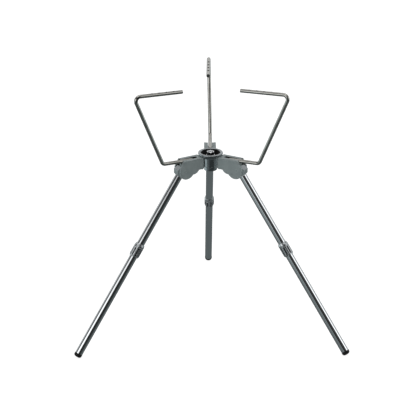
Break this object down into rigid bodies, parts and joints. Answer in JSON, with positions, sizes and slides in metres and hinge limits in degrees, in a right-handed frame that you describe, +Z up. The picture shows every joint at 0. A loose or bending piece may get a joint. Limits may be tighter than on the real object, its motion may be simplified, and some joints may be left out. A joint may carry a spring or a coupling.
{
  "type": "campfire tripod",
  "caption": "Folding campfire tripod: a turned hub with hinged screw-together legs and hinged bent rods that carry a pot or grate.",
  "frame": {"origin": "centre of the flat upper end of the hub bolt, on the hub axis and level with the hub's rim", "axes": "+Z up along the hub axis, +Y towards the rear leg, +X to the right seen from the front; the ground is at z = -0.354"},
  "size_m": [0.5158, 0.4486, 0.4925],
  "materials": {
    "hub_metal": "gloss gunmetal, turned",
    "bracket_casting": "satin grey casting",
    "tube_steel": "polished tube",
    "rod_steel": "drawn and polished bar",
    "collar_metal": "dark bright plating",
    "bright_steel": "bright zinc-plated fastener",
    "pin_steel": "ground flush with the casting and tinted like it",
    "ferrule_steel": "machined",
    "foot_rubber": "matte",
    "black_liner": "matte black"
  },
  "bodies": {
    "hub": {"hub_body": "hub_metal", "hub_base_plate": "hub_metal", "hub_bolt": "bright_steel", "hub_nut": "bright_steel", "hub_washer": "bright_steel", "hub_cup_liner": "black_liner", "bracket_rear": "bracket_casting", "leg_pin_rear": "pin_steel", "rod_pin_rear": "pin_steel", "bracket_left": "bracket_casting", "leg_pin_left": "pin_steel", "rod_pin_left": "pin_steel", "bracket_right": "bracket_casting", "leg_pin_right": "pin_steel", "rod_pin_right": "pin_steel"},
    "rod_rear": {"rod_rear": "rod_steel"},
    "leg_rear": {"leg_head_rear": "bracket_casting", "upper_tube_rear": "tube_steel", "upper_ferrule_rear": "ferrule_steel", "lower_ferrule_rear": "ferrule_steel", "lower_tube_rear": "tube_steel", "foot_cap_rear": "foot_rubber"},
    "collar_rear": {"collar_rear": "collar_metal"},
    "rod_left": {"rod_left": "rod_steel"},
    "leg_left": {"leg_head_left": "bracket_casting", "upper_tube_left": "tube_steel", "upper_ferrule_left": "ferrule_steel", "lower_ferrule_left": "ferrule_steel", "lower_tube_left": "tube_steel", "foot_cap_left": "foot_rubber"},
    "collar_left": {"collar_left": "collar_metal"},
    "rod_right": {"rod_right": "rod_steel"},
    "leg_right": {"leg_head_right": "bracket_casting", "upper_tube_right": "tube_steel", "upper_ferrule_right": "ferrule_steel", "lower_ferrule_right": "ferrule_steel", "lower_tube_right": "tube_steel", "foot_cap_right": "foot_rubber"},
    "collar_right": {"collar_right": "collar_metal"}
  },
  "joints": [
    {"name": "rod_rear_fold", "type": "hinge", "parent": "hub", "child": "rod_rear", "pos_m": [0, 0.043, -0.0078], "axis": [1, 0, 0], "range_deg": [0, 108]},
    {"name": "leg_rear_fold", "type": "hinge", "parent": "hub", "child": "leg_rear", "pos_m": [0, 0.0604, -0.0228], "axis": [-1, 0, 0], "range_deg": [0, 35]},
    {"name": "collar_rear_turn", "type": "hinge", "parent": "leg_rear", "child": "collar_rear", "pos_m": [0, 0.0604, -0.0228], "axis": [0, -0.575, 0.8181], "range_deg": [0, 2160]},
    {"name": "rod_left_fold", "type": "hinge", "parent": "hub", "child": "rod_left", "pos_m": [-0.03724, -0.0215, -0.0078], "axis": [-0.5, 0.866, 0], "range_deg": [0, 98]},
    {"name": "leg_left_fold", "type": "hinge", "parent": "hub", "child": "leg_left", "pos_m": [-0.05231, -0.0302, -0.0228], "axis": [0.5, -0.866, 0], "range_deg": [0, 35]},
    {"name": "collar_left_turn", "type": "hinge", "parent": "leg_left", "child": "collar_left", "pos_m": [-0.05231, -0.0302, -0.0228], "axis": [0.498, 0.2875, 0.8181], "range_deg": [0, 2160]},
    {"name": "rod_right_fold", "type": "hinge", "parent": "hub", "child": "rod_right", "pos_m": [0.03724, -0.0215, -0.0078], "axis": [-0.5, -0.866, 0], "range_deg": [0, 88]},
    {"name": "leg_right_fold", "type": "hinge", "parent": "hub", "child": "leg_right", "pos_m": [0.05231, -0.0302, -0.0228], "axis": [0.5, 0.866, 0], "range_deg": [0, 35]},
    {"name": "collar_right_turn", "type": "hinge", "parent": "leg_right", "child": "collar_right", "pos_m": [0.05231, -0.0302, -0.0228], "axis": [-0.498, 0.2875, 0.8181], "range_deg": [0, 2160]}
  ]
}
